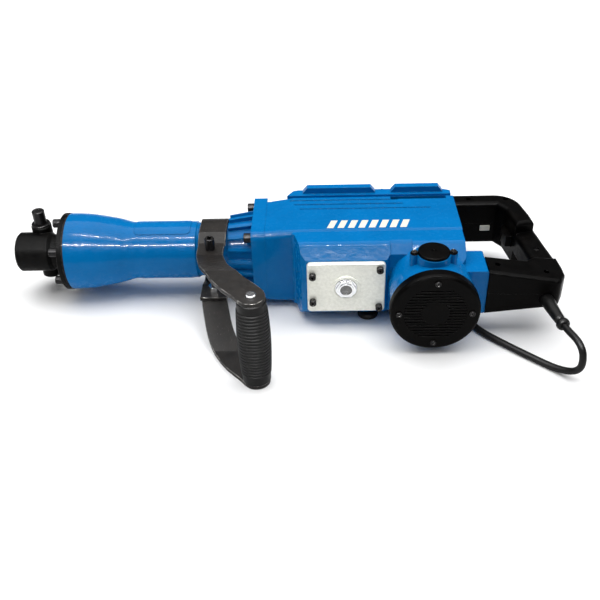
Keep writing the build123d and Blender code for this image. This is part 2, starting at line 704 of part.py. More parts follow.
# ---- crank cover -----------------------------------------------------------------------------
COVER = (71.8, 171.3, 36.8)
COVER_X = (COVER[0] + COVER[1]) / 2
PLUG_SEAT_R = 15.0
with BuildPart() as crank_cover:
    with BuildSketch(facing_motor(93)):
        with Locations((COVER_X, 0)):
            RectangleRounded(COVER[1] - COVER[0], 2 * COVER[2], 5)
    extrude(amount=PLATE_T)
    outer_face = crank_cover.faces().sort_by(Axis.Y)[0]
    chamfer(outer_face.edges(), 0.8)
    add(ring_y(CRANK_X, 0, 93 + PLATE_T - 0.5, 93 + PLATE_T + 1.2, PLUG_SEAT_R, 18))
    with BuildSketch(facing_motor(92)):
        with Locations(*COVER_SCREWS):
            Circle(2.6)
        with Locations((CRANK_X, 0)):
            Circle(PLUG_SEAT_R - 1)
    extrude(amount=10, mode=Mode.SUBTRACT)
save(crank_cover, "crank_cover")

crank_cover_screws = socket_screw(facing_motor(93 + PLATE_T), COVER_SCREWS, 4.5, 6.5, 2.5, 16, 4)
save(crank_cover_screws, "crank_cover_screws")

with BuildPart() as grease_plug:
    with BuildSketch(facing_motor(88.5)):
        with Locations((CRANK_X, 0)):
            Circle(PLUG_SEAT_R - 1.05)
    extrude(amount=93 + PLATE_T + 1.2 - 88.5)
    with BuildSketch(facing_motor(93 + PLATE_T + 1.2)):
        with Locations((CRANK_X, 0)):
            RegularPolygon(11.6, 6, major_radius=False)
    extrude(amount=3)
    add(ring_y(CRANK_X, 0, 93 + PLATE_T + 4, 93 + PLATE_T + 5.4, 7.6, 9.6))
    with BuildSketch(facing_motor(93 + PLATE_T + 4.2)):
        with Locations((CRANK_X, 0)):
            Circle(7.6)
    extrude(amount=-2.4, mode=Mode.SUBTRACT)
save(grease_plug, "grease_plug")

with BuildPart() as gauge_window:
    add(rod_y(CRANK_X, 0, 93 + PLATE_T + 1.85, 93 + PLATE_T + 4, 7.55))
save(gauge_window, "gauge_window")

# ---- back cover with the two skid rails ------------------------------------------------------
BACK_N = -66.0
RAILS = [(66, 166), (188, 259)]
RAIL_SLOPE = 6
with BuildPart() as back_cover:
    with BuildSketch(Plane.XY):
        with BuildLine():
            Polyline((44, 46 + GAP), (52, 60), (66, -BACK_N), (246, -BACK_N), (270, 56), (270, 46 + GAP),
                     close=True)
        make_face()
    extrude(amount=CASE_HALF_Z - 0.5, both=True)
    fillet(back_cover.edges().filter_by(Axis.X).group_by(Axis.Y)[-1], 5)
    # Skid rails that the machine lies on.
    for up in (1, -1):
        with BuildSketch(facing_motor(-61.5)):
            for x0, x1 in RAILS:
                with BuildLine():
                    Polyline((x0, up * 50), (x0, up * 57), (x0 + RAIL_SLOPE, up * FLOOR),
                             (x1 - RAIL_SLOPE, up * FLOOR), (x1, up * 57), (x1, up * 50), close=True)
                make_face()
        extrude(amount=10)
    with BuildSketch(facing_motor(-61)):
        with Locations(((66 + 256) / 2, 0)):
            RectangleRounded(190, 86, 8)
    extrude(amount=20, mode=Mode.SUBTRACT)
    with BuildSketch(facing_motor(-70)):
        with Locations(*BACK_SCREWS):
            Circle(2.6)
    extrude(amount=40, mode=Mode.SUBTRACT)
save(back_cover, "back_cover")

back_screws = socket_screw(Plane(origin=(0, -BACK_N, 0), x_dir=(1, 0, 0), z_dir=(0, 1, 0)),
                           [(x, -z) for x, z in BACK_SCREWS], 4.5, 5, 2.5, 30, 4)
save(back_screws, "back_cover_screws")

# ---- motor end -------------------------------------------------------------------------------
TAIL_COVER_R = 55.5
TAIL_ROWS = 8
TAIL_ROW_PITCH = 4.2
with BuildPart() as tail_cover:
    add(turned(about_y(MOTOR_X), y_axis(MOTOR_X), [
        (MOTOR_END, 47), (MOTOR_END, TAIL_COVER_R), (MOTOR_END + 10.5, TAIL_COVER_R),
        (MOTOR_END + 13.5, TAIL_COVER_R - 1), (MOTOR_END + TAIL_T, TAIL_COVER_R - 3.5),
        (MOTOR_END + TAIL_T, 0), (MOTOR_END + TAIL_T - 4, 0), (MOTOR_END + TAIL_T - 4, 11), (135, 11),
        (126, 11), (126, 15), (MOTOR_END + TAIL_T - 6, 15), (MOTOR_END + TAIL_T - 6, 47)]))
    with BuildSketch(facing_motor(MOTOR_END + TAIL_T - 3)):
        for row in range(-TAIL_ROWS, TAIL_ROWS + 1):
            with Locations((MOTOR_X, row * TAIL_ROW_PITCH)):
                SlotOverall(2 * sqrt(39**2 - (row * TAIL_ROW_PITCH)**2), 1.6)
        with Locations((MOTOR_X, 0)):
            Circle(17, mode=Mode.SUBTRACT)
    extrude(amount=10, mode=Mode.SUBTRACT)
    with BuildSketch(facing_motor(130)):
        with Locations(*TAIL_SCREWS):
            Circle(2.1)
    extrude(amount=40, mode=Mode.SUBTRACT)
save(tail_cover, "tail_cover")

tail_screws = socket_screw(facing_motor(MOTOR_END + TAIL_T), TAIL_SCREWS, 3.6, 2.2, 2, 27, 3)
save(tail_screws, "tail_cover_screws")

EAR_T = 1.4
with BuildPart() as brush_covers:
    for up in (1, -1):
        base = up * (BRUSH_TOP + GAP)
        with BuildSketch(Plane.XY.offset(base)):
            with Locations((BRUSH_X, -BRUSH_N)):
                Circle(19.6)
        extrude(amount=up * (FLOOR - BRUSH_TOP - GAP))
        fillet(brush_covers.faces().sort_by(Axis.Z)[-1 if up > 0 else 0].edges(), 1.4)
        with BuildSketch(Plane.XY.offset(up * FLOOR)):
            with Locations((BRUSH_X, -BRUSH_N)):
                Circle(3)
        extrude(amount=-up * 1.5, mode=Mode.SUBTRACT)
        with BuildSketch(Plane.XY.offset(base)):
            with Locations(*BRUSH_EARS):
                Circle(5.2)
            with Locations((BRUSH_X, -BRUSH_N)):
                Rectangle(44, 6)
        extrude(amount=up * EAR_T)
        with BuildSketch(Plane.XY.offset(base)):
            with Locations(*BRUSH_EARS):
                Circle(2.1)
        extrude(amount=up * 5, mode=Mode.SUBTRACT)
save(brush_covers, "brush_covers")

with BuildPart() as brush_screws:
    for up in (1, -1):
        seat = up * (BRUSH_TOP + GAP + EAR_T)
        with BuildSketch(Plane.XY.offset(seat)):
            with Locations(*BRUSH_EARS):
                Circle(3.6)
        extrude(amount=up * 2.0)
        with BuildSketch(Plane.XY.offset(seat)):
            with Locations(*BRUSH_EARS):
                Circle(2)
        extrude(amount=-up * 12)
        with BuildSketch(Plane.XY.offset(seat + up * 2.0)):
            with Locations(*BRUSH_EARS):
                Rectangle(5, 1)
                Rectangle(1, 5)
        extrude(amount=-up * 1.1, mode=Mode.SUBTRACT)
save(brush_screws, "brush_cover_screws")

with BuildPart() as brush_holders:
    for up in (1, -1):
        with BuildSketch(Plane.XY.offset(up * 19)):
            with Locations((BRUSH_X + 1, -BRUSH_N)):
                Circle(8.4)
                Rectangle(6.5, 12.5, mode=Mode.SUBTRACT)
        extrude(amount=up * 37)
save(brush_holders, "brush_holders")

with BuildPart() as carbon_brushes:
    for up in (1, -1):
        with BuildSketch(Plane.XY.offset(up * 15.1)):
            with Locations((BRUSH_X + 1, -BRUSH_N)):
                Rectangle(6.3, 12.3)
        extrude(amount=up * 18)
save(carbon_brushes, "carbon_brushes")

# ---- side handle -----------------------------------------------------------------------------
STRAP_HALF = 17.0
END_R = 16.5
CLAMP = (BAND_X, -CLAMP_N)
GRIP = (GRIP_X, -GRIP_N)
CLAMP_BOLT_R = 4.0


def strap_outline(start_n):
    """Plan of one arm: constant width along a curved centre line, rounded at the grip."""
    centre = [(BAND_X, -start_n), (BAND_X, -60), (-50, -88), (-43, -117), (-32, -145), (-14, -174)]
    with BuildSketch(Plane.XY, mode=Mode.PRIVATE) as plan:
        with BuildLine():
            Polyline(centre[0], centre[1])
            Spline(*centre[1:], GRIP, tangents=[(0, -1), (0.55, -0.83)])
        trace(line_width=2 * STRAP_HALF)
        with Locations(GRIP):
            Circle(END_R)
    return plan.sketch


def arm_profile(up, clamp_face):
    """Side view of one arm as (Y, Z): level at the clamp, sloping out, level again at the grip."""
    inner = clamp_face - STRAP_T
    return [(-40, up * clamp_face), (-70, up * clamp_face), (-150, up * ARM_TOP), (-222, up * ARM_TOP),
            (-222, up * GRIP_END), (-151, up * GRIP_END), (-71, up * inner), (-40, up * inner)]


BAND_R = BAND_SEAT_R + 0.15
with BuildPart() as band_arm:
    # Arm above, cut from the plan to its bent side view.
    with BuildSketch(Plane.XY.offset(10)):
        add(strap_outline(30))
    extrude(amount=70)
    with BuildSketch(across_x(-100)):
        with BuildLine():
            Polyline(*arm_profile(1, 35.3), close=True)
        make_face()
    extrude(amount=160, mode=Mode.INTERSECT)
    # Band round the back of the barrel, with a straight lug under the lower arm.
    with BuildSketch(across_x(BAND_X - BAND_W / 2)):
        with BuildLine():
            Polyline((0, BAND_R + STRAP_T), (-24, BAND_R + STRAP_T), (-42, 35.3), (-42, 30.3), (-24, BAND_R),
                     (0, BAND_R))
            ThreePointArc((0, BAND_R), (BAND_R, 0), (0, -BAND_R))
            Polyline((0, -BAND_R), (-24, -BAND_R), (-42, -30.3), (-74, -30.3), (-74, -35.2), (-42, -35.2),
                     (-24, -BAND_R - STRAP_T), (0, -BAND_R - STRAP_T))
            ThreePointArc((0, -BAND_R - STRAP_T), (BAND_R + STRAP_T, 0), (0, BAND_R + STRAP_T))
        make_face()
    extrude(amount=BAND_W)
    with BuildSketch(Plane.XY.offset(-40)):
        with Locations(CLAMP):
            Circle(CLAMP_BOLT_R + 0.3)
        with Locations(GRIP):
            Circle(4.3)
    extrude(amount=110, mode=Mode.SUBTRACT)
save(band_arm, "side_handle_band")

with BuildPart() as lower_arm:
    with BuildSketch(Plane.XY.offset(-10)):
        add(strap_outline(44))
    extrude(amount=-70)
    with BuildSketch(across_x(-100)):
        with BuildLine():
            Polyline(*arm_profile(-1, 40.3), close=True)
        make_face()
    extrude(amount=160, mode=Mode.INTERSECT)
    with BuildSketch(Plane.XY):
        with Locations(CLAMP):
            Circle(CLAMP_BOLT_R + 0.3)
        with Locations(GRIP):
            Circle(3.9)
    extrude(amount=-80, mode=Mode.SUBTRACT)
save(lower_arm, "side_handle_lower_arm")

RIBS = 10
RIB_PITCH = 4.5


def rib_line():
    """Half outline of the grip's middle: a barrel shape with a shallow groove between each pair of ribs."""
    line = []
    for k in range(-RIBS, RIBS + 1):
        z = k * RIB_PITCH
        crest = 17.9 + 2.4 * cos(z / 110 * pi)
        line += [(crest - 1.3, z - 1.6), (crest, z - 0.9), (crest, z + 0.9), (crest - 1.3, z + 1.6)]
    return line


with BuildPart() as side_grip:
    with BuildSketch(Plane(origin=(GRIP_X, -GRIP_N, 0), x_dir=(1, 0, 0), z_dir=(0, -1, 0))):
        with BuildLine():
            end = GRIP_END - GAP
            Polyline((4.3, -end), (16.5, -end), (17.5, 1 - end), (17.5, -48), *rib_line(), (17.5, 48),
                     (17.5, end - 1), (16.5, end), (4.3, end), close=True)
        make_face()
    revolve(axis=Axis((GRIP_X, -GRIP_N, 0), (0, 0, 1)))
save(side_grip, "side_grip")

with BuildPart() as grip_bolt:
    with BuildSketch(Plane.XY.offset(ARM_TOP)):
        with Locations(GRIP):
            Circle(6.5)
    extrude(amount=2.6)
    fillet(grip_bolt.faces().sort_by(Axis.Z)[-1].edges(), 1.8)
    with BuildSketch(Plane.XY.offset(ARM_TOP)):
        with Locations(GRIP):
            Circle(3.85)
    extrude(amount=-2 * ARM_TOP + 0.6)
save(grip_bolt, "grip_bolt")

CLAMP_TOP = 35.4
CLAMP_END = -50.3
with BuildPart() as clamp_bolt:
    with BuildSketch(Plane.XY.offset(CLAMP_TOP)):
        with Locations(CLAMP):
            Circle(6.3)
    extrude(amount=16.5)
    chamfer(clamp_bolt.faces().sort_by(Axis.Z)[-1].edges(), 0.8)
    with BuildSketch(Plane.XY.offset(CLAMP_TOP + 16.5)):
        with Locations(CLAMP):
            RegularPolygon(3.2, 6, major_radius=False)
    extrude(amount=-6, mode=Mode.SUBTRACT)
    with BuildSketch(Plane.XY.offset(CLAMP_TOP)):
        with Locations(CLAMP):
            Circle(CLAMP_BOLT_R)
    extrude(amount=CLAMP_END - CLAMP_TOP)
save(clamp_bolt, "clamp_bolt")

# One nut holds the two straps together from above, the other closes the clamp from below.
with BuildPart() as clamp_nut:
    for base in (-30.2, -47.9):
        with BuildSketch(Plane.XY.offset(base)):
            with Locations(CLAMP):
                RegularPolygon(6.9, 6, major_radius=False)
                Circle(CLAMP_BOLT_R + 0.05, mode=Mode.SUBTRACT)
        extrude(amount=7.5)
save(clamp_nut, "clamp_nut")

# ---- cable route -----------------------------------------------------------------------------
CABLE_Z = -FLOOR + CABLE_R
COIL_X, COIL_Y = 185.0, 141.0
COIL_OUT_R = 63.8              # where the cable enters and leaves the coil
COIL_PITCH = 9.2
COIL_TURNS = 3                 # inwards on the floor, and as many outwards on top of them
COIL_START = (COIL_X, COIL_Y - COIL_OUT_R, CABLE_Z)
COIL_END = (COIL_X, COIL_Y - COIL_OUT_R, CABLE_Z + COIL_PITCH)
RUN_POINTS = [
    (372, -112, -8), (378, -165, -9), (397, -211, -11), (396.5, -210.3, CABLE_Z), (326, -147, CABLE_Z),
    (286, -105, CABLE_Z), (280, -62, CABLE_Z), (288, -20, CABLE_Z), (291, 26, CABLE_Z), (279, 63, CABLE_Z),
    (237, 78.5, CABLE_Z), COIL_START,
]
TAIL_POINTS = [
    COIL_END, (141, 76.5, CABLE_Z + COIL_PITCH), (104, 87, CABLE_Z), (76, 124, CABLE_Z + 0.5),
    (73, 164, -55.5),
]

# ---- D-handle --------------------------------------------------------------------------------
SHELL = 3.5                    # wall of the moulding
UPPER_ARM = [(272.2, 84), (366, 84), (377, 26), (379, 6), (354, 0), (348, 42), (338, 57), (277.2, 57),
             (277.2, 36), (272.2, 36)]
GRIP_BAR = [(374, 30), (383, 14), (389, -30), (394, -62), (REAR_X, -84), (362, -84), (362, -66), (354, 0),
            (350, 28)]
LOWER_ARM = [(298.2, -77), (350, -77), (362, -66), (394, -62), (REAR_X, -84), (REAR_X, -101), (387, -119),
             (298.2, -115)]
HANDLE_SCREWS = [(374, -39.4), (311.5, -95), (372, -100), (300, 70), (352, 68)]
TRIGGER_SLOT = (350, 24)
LOCK = (325.0, -7.0)


def side_band(half_heights, inset):
    """Runs a half-height profile of (X, Z), mirrored in Z, through the whole depth of the handle."""
    upper = [(x, z - inset) for x, z in half_heights]
    with BuildPart(mode=Mode.PRIVATE) as band:
        with BuildSketch(Plane.XZ.offset(-130)):
            with BuildLine():
                Polyline(*upper, *[(x, -z) for x, z in reversed(upper)], close=True)
            make_face()
        extrude(amount=260)
    return band.part


def is_rim(edge):
    """True for the long edges above and below, away from the housing."""
    return abs(edge.center().Z) > 8 and abs(edge.tangent_at(0.5).Z) < 0.9 and edge.bounding_box().max.X > 300


def handle_bar(outline, corners, half_heights, rim_r, hollow):
    """One bar of the handle with rounded corners and rims, or the hollow inside it."""
    inset = SHELL if hollow else 0
    with BuildPart(mode=Mode.PRIVATE) as bar:
        with BuildSketch(Plane.XY) as plan:
            with BuildLine():
                Polyline(*outline, close=True)
            make_face()
            for corner, radius in corners:
                fillet(plan.vertices().sort_by_distance(corner)[0], radius)
            if hollow:
                offset(amount=-SHELL, kind=Kind.INTERSECTION)
        extrude(amount=40, both=True)
        add(side_band(half_heights, inset), mode=Mode.INTERSECT)
        if not hollow:
            fillet([edge for edge in bar.edges() if is_rim(edge)], rim_r)
    return bar.part


def handle_solid(hollow):
    """Upper arm, grip and lower arm, joined."""
    upper_rise = [(270, ARM_HALF_Z), (380, ARM_HALF_Z)]
    grip_rise = [(340, HANDLE_GRIP_HALF_Z), (400, HANDLE_GRIP_HALF_Z)]
    lower_rise = [(290, ARM_HALF_Z + 1), (400, HANDLE_GRIP_HALF_Z + 1)]
    upper = handle_bar(UPPER_ARM, [((366, 84), 36)], upper_rise, 6, hollow)
    grip = handle_bar(GRIP_BAR, [], grip_rise, 8, hollow)
    lower = handle_bar(LOWER_ARM, [((REAR_X, -101), 8), ((387, -119), 8)], lower_rise, 5, hollow)
    return upper + grip + lower


with BuildPart() as handle_cavity:
    add(handle_solid(hollow=True))
    for x, y in HANDLE_SCREWS:
        with Locations((x, y, 0)):
            Cylinder(5, 80, mode=Mode.SUBTRACT)


whole_handle = handle_solid(hollow=False)


def handle_half(up):
    """One shell of the handle. The screws go in from above and end blind in the lower shell."""
    with BuildPart() as half:
        add(whole_handle)
        add(handle_cavity.part, mode=Mode.SUBTRACT)
        for x, y in HANDLE_SCREWS:
            with Locations((x, y, 13)):
                Cylinder(2, 54, mode=Mode.SUBTRACT)
            with Locations((x, y, 30 + 13)):
                Cylinder(3.8, 60, mode=Mode.SUBTRACT)
        with Locations((TRIGGER_SLOT[0], TRIGGER_SLOT[1], 0)):
            Box(24, 36, 18, mode=Mode.SUBTRACT)
        with Locations((LOCK[0], 57, LOCK[1])):
            Box(14.2, 12, 8.2, mode=Mode.SUBTRACT)
        with Locations(Plane(origin=RUN_POINTS[0], z_dir=Vector(*RUN_POINTS[1]) - Vector(*RUN_POINTS[0]))):
            Cylinder(8.9, 64, mode=Mode.SUBTRACT)
        with Locations((340, 0, -up * 59.97)):
            Box(300, 300, 120, mode=Mode.SUBTRACT)
    return half


handle_upper = handle_half(1)
save(handle_upper, "handle_half_upper")
handle_lower = handle_half(-1)
save(handle_lower, "handle_half_lower")

handle_screws = socket_screw(Plane.XY.offset(13), HANDLE_SCREWS, 3.5, 2.6, 1.95, 26, 2.5)
save(handle_screws, "handle_screws")

with BuildPart() as trigger:
    with BuildSketch(Plane.XY):
        with BuildLine():
            Polyline((356.5, 8), (356.5, 40), (347, 40), (342.5, 33), (341.5, 22), (344.5, 8), close=True)
        make_face()
        fillet(vertices().group_by(Axis.X)[0], 3)
    extrude(amount=8.3, both=True)
save(trigger, "trigger")

with BuildPart() as switch_body:
    with Locations((365.8, 22, 0)):
        Box(8.4, 28, 18)
save(switch_body, "switch_body")

with BuildPart() as lock_button:
    with Locations((LOCK[0], 58.2, LOCK[1])):
        Box(14, 5.6, 8)
    fillet(lock_button.edges().filter_by(Axis.Y), 1)
save(lock_button, "lock_button")

# ---- cable, relief and plug ------------------------------------------------------------------
def bend_radii(points):
    """The largest bend at each corner that leaves a tenth of the shorter neighbouring run straight."""
    radii = []
    for before, here, after in zip(points, points[1:], points[2:]):
        arriving = Vector(*here) - Vector(*before)
        leaving = Vector(*after) - Vector(*here)
        half_turn = radians(arriving.get_angle(leaving)) / 2
        radii.append(0.45 * min(arriving.length, leaving.length) / tan(half_turn))
    return radii


def route(points):
    with BuildLine(mode=Mode.PRIVATE) as path:
        FilletPolyline(*points, radius=bend_radii(points))
    return path.wire()


def tube(path, radius):
    with BuildPart(mode=Mode.PRIVATE) as cable:
        with BuildSketch(Plane(origin=path @ 0, z_dir=path % 0)):
            Circle(radius)
        sweep(path=path, transition=Transition.ROUND)
    return cable.part


run_path = route(RUN_POINTS)
tail_path = route(TAIL_POINTS)
print("run bends", [round(r, 1) for r in bend_radii(RUN_POINTS)])
print("tail bends", [round(r, 1) for r in bend_radii(TAIL_POINTS)])

with BuildPart() as cord_run:
    add(tube(run_path, CABLE_R))
print("run volume against length", round(cord_run.part.volume / (pi * CABLE_R**2 * run_path.length), 3))
save(cord_run, "cord_run")

with BuildPart() as cord_tail:
    add(tube(tail_path, CABLE_R))
save(cord_tail, "cord_tail")

COIL_STEPS = 12
CLIMB = (32, 40)               # steps over which the cable climbs onto the turns below
COIL_IN_R = COIL_OUT_R - COIL_PITCH * COIL_TURNS


def coil_points():
    """The cable's line in the coil: inwards on the floor, then outwards on top."""
    points = [COIL_START]
    half_way = COIL_STEPS * COIL_TURNS
    for k in range(2 * half_way):
        step = k + 0.5
        angle = -pi / 2 - step * 2 * pi / COIL_STEPS
        radius = (COIL_IN_R + COIL_PITCH * abs(step - half_way) / COIL_STEPS) / cos(pi / COIL_STEPS)
        rise = min(1, max(0, (step - CLIMB[0]) / (CLIMB[1] - CLIMB[0])))
        points.append((COIL_X + radius * cos(angle), COIL_Y + radius * sin(angle),
                       CABLE_Z + COIL_PITCH * rise))
    points.append(COIL_END)
    return points


# The coil itself is one plain ring of the turns' outer shape.
COIL_HEIGHT = COIL_PITCH + 2 * CABLE_R
with BuildPart() as cord_coil:
    with BuildSketch(Plane(origin=(COIL_X, COIL_Y, 0), x_dir=(1, 0, 0), z_dir=(0, -1, 0))):
        with Locations(((COIL_IN_R + COIL_OUT_R) / 2, -FLOOR + COIL_HEIGHT / 2)):
            RectangleRounded(COIL_OUT_R - COIL_IN_R + 2 * CABLE_R, COIL_HEIGHT, CABLE_R)
    revolve(axis=Axis((COIL_X, COIL_Y, 0), (0, 0, 1)))
save(cord_coil, "cord_coil")
print("cable length", round(run_path.length + route(coil_points()).length + tail_path.length))

# A tapered sleeve along the cable, with a bead at its free end.
RELIEF_LENGTH = 60.0
RELIEF_STEPS = 12
with BuildPart() as strain_relief:
    for k in range(RELIEF_STEPS + 1):
        along = k / RELIEF_STEPS * RELIEF_LENGTH / run_path.length
        thick = 8.8 - 2.2 * k / RELIEF_STEPS + (1.6 if k == RELIEF_STEPS - 1 else 0)
        with Locations(Plane(origin=run_path @ along, z_dir=run_path % along)):
            Cylinder(thick, RELIEF_LENGTH / RELIEF_STEPS + 1)
    add(tube(run_path, CABLE_R + 0.05), mode=Mode.SUBTRACT)
save(strain_relief, "strain_relief")

plug_axis = tail_path % 1
plug_plane = Plane(origin=tail_path @ 1, x_dir=(0, 0, 1), z_dir=(plug_axis.X, plug_axis.Y, 0))
with BuildPart() as plug_body:
    with BuildSketch(plug_plane.offset(-3)):
        RectangleRounded(11.5, 13, 4)
    with BuildSketch(plug_plane.offset(18)):
        RectangleRounded(15, 30, 6)
    loft()
    with BuildSketch(plug_plane.offset(18)):
        RectangleRounded(17, 35.5, 8)
    extrude(amount=20)
    with BuildSketch(plug_plane.offset(-4)):
        Circle(CABLE_R + 0.6)
    extrude(amount=14, mode=Mode.SUBTRACT)
save(plug_body, "plug_body")

with BuildPart() as plug_pins:
    with BuildSketch(plug_plane.offset(38)):
        with Locations((0, -9.5), (0, 9.5)):
            Circle(2.4)
    extrude(amount=19)
save(plug_pins, "plug_pins")
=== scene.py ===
"""Looks of the electric demolition hammer: studio, materials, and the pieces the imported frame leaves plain.

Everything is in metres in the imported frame. The hammer axis is parallel to X at MACHINE, the tool socket is
at -X, the motor's end and the side grip are at -Y, and the machine lies on the floor at Z = 0.
"""
import json
from math import cos, pi, radians, sin

import bmesh
import bpy
from mathutils import Matrix, Vector


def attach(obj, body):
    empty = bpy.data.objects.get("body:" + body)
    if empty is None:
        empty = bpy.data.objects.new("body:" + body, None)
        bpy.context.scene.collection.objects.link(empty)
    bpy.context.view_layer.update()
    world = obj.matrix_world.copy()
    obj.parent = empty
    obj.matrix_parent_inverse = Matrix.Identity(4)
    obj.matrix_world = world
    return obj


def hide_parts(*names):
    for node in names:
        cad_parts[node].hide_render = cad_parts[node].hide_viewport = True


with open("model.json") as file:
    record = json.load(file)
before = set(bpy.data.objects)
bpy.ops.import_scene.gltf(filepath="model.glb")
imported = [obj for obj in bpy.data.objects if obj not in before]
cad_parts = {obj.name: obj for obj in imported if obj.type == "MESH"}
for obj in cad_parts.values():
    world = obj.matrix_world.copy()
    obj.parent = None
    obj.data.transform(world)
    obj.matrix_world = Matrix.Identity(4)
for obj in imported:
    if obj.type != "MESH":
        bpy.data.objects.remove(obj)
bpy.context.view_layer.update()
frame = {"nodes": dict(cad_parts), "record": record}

MACHINE = Vector((-0.034, 0.06725, 0.064))     # on the hammer axis, at the barrel's rear flange
CABLE_R = 0.0044
CABLE_Z = CABLE_R - MACHINE.z                  # centre of a cable that lies on the floor

nodes = frame["nodes"]


def at(x, y, z):
    """A point given from MACHINE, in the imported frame."""
    return MACHINE + Vector((x, y, z))


# ---- camera and studio ---------------------------------------------------------------------------
CAMERA_AT = Vector((0.0566, -0.86145, 0.6499))
CAMERA_TARGET = Vector((0.0247, 0.06725, -0.02567))
CAMERA_ROLL = radians(-1.91)
CAMERA_LENS = 47.6


def make_camera():
    back = (CAMERA_AT - CAMERA_TARGET).normalized()
    level = Vector((0, 0, 1)).cross(back).normalized()
    upright = back.cross(level)
    right = level * cos(CAMERA_ROLL) + upright * sin(CAMERA_ROLL)
    up = upright * cos(CAMERA_ROLL) - level * sin(CAMERA_ROLL)
    data = bpy.data.cameras.new("camera")
    data.lens = CAMERA_LENS
    data.sensor_width = 36
    camera = bpy.data.objects.new("camera", data)
    camera.matrix_world = Matrix((
        (right.x, up.x, back.x, CAMERA_AT.x),
        (right.y, up.y, back.y, CAMERA_AT.y),
        (right.z, up.z, back.z, CAMERA_AT.z),
        (0, 0, 0, 1),
    ))
    bpy.context.scene.collection.objects.link(camera)
    bpy.context.scene.camera = camera


def softbox(name, place, aim, size, power, streak=False):
    """A rectangular area light that shines from place towards aim. A streak shows in highlights only."""
    data = bpy.data.lights.new(name, "AREA")
    data.shape = "RECTANGLE"
    data.size, data.size_y = size
    data.energy = power
    light = bpy.data.objects.new(name, data)
    light.visible_diffuse = not streak
    light.location = place
    light.rotation_euler = (Vector(aim) - Vector(place)).to_track_quat("-Z", "Y").to_euler()
    bpy.context.scene.collection.objects.link(light)


def make_studio():
    world = bpy.data.worlds.new("studio")
    bpy.context.scene.world = world
    world.use_nodes = True
    world.node_tree.nodes["Background"].inputs["Color"].default_value = (0.95, 0.97, 1, 1)
    world.node_tree.nodes["Background"].inputs["Strength"].default_value = 0.10
    bpy.context.scene.view_settings.view_transform = "Standard"
    softbox("overhead", (0, 0.55, 2.5), (0, 0.4, 0), (5.0, 3.2), 160)
    softbox("front_strip", (-0.05, -0.86, 1.12), (0, 0.05, 0.05), (1.4, 0.035), 70, streak=True)
    softbox("rear_strip", (-0.1, -0.30, 1.5), (0, 0.05, 0.05), (1.0, 0.03), 26, streak=True)
    softbox("left_fill", (-1.6, -0.5, 0.7), (0, 0, 0.05), (0.5, 0.9), 4)
    softbox("right_fill", (1.6, -0.3, 0.9), (0, 0, 0.05), (0.5, 0.9), 3)


make_camera()
make_studio()


# ---- small mesh and node tools -------------------------------------------------------------------
def link_piece(name, data, body, slot):
    """A piece that moves with a body and wears the material of its slot."""
    piece = bpy.data.objects.new(name, data)
    bpy.context.scene.collection.objects.link(piece)
    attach(piece, body)
    data.materials.append(MATERIALS[slot])
    return piece


def mesh_piece(name, mesh, body, slot):
    """Turns a finished bmesh into a smooth-shaded piece."""
    data = bpy.data.meshes.new(name)
    bmesh.ops.recalc_face_normals(mesh, faces=mesh.faces)
    for face in mesh.faces:
        face.smooth = True
    mesh.to_mesh(data)
    mesh.free()
    return link_piece(name, data, body, slot)


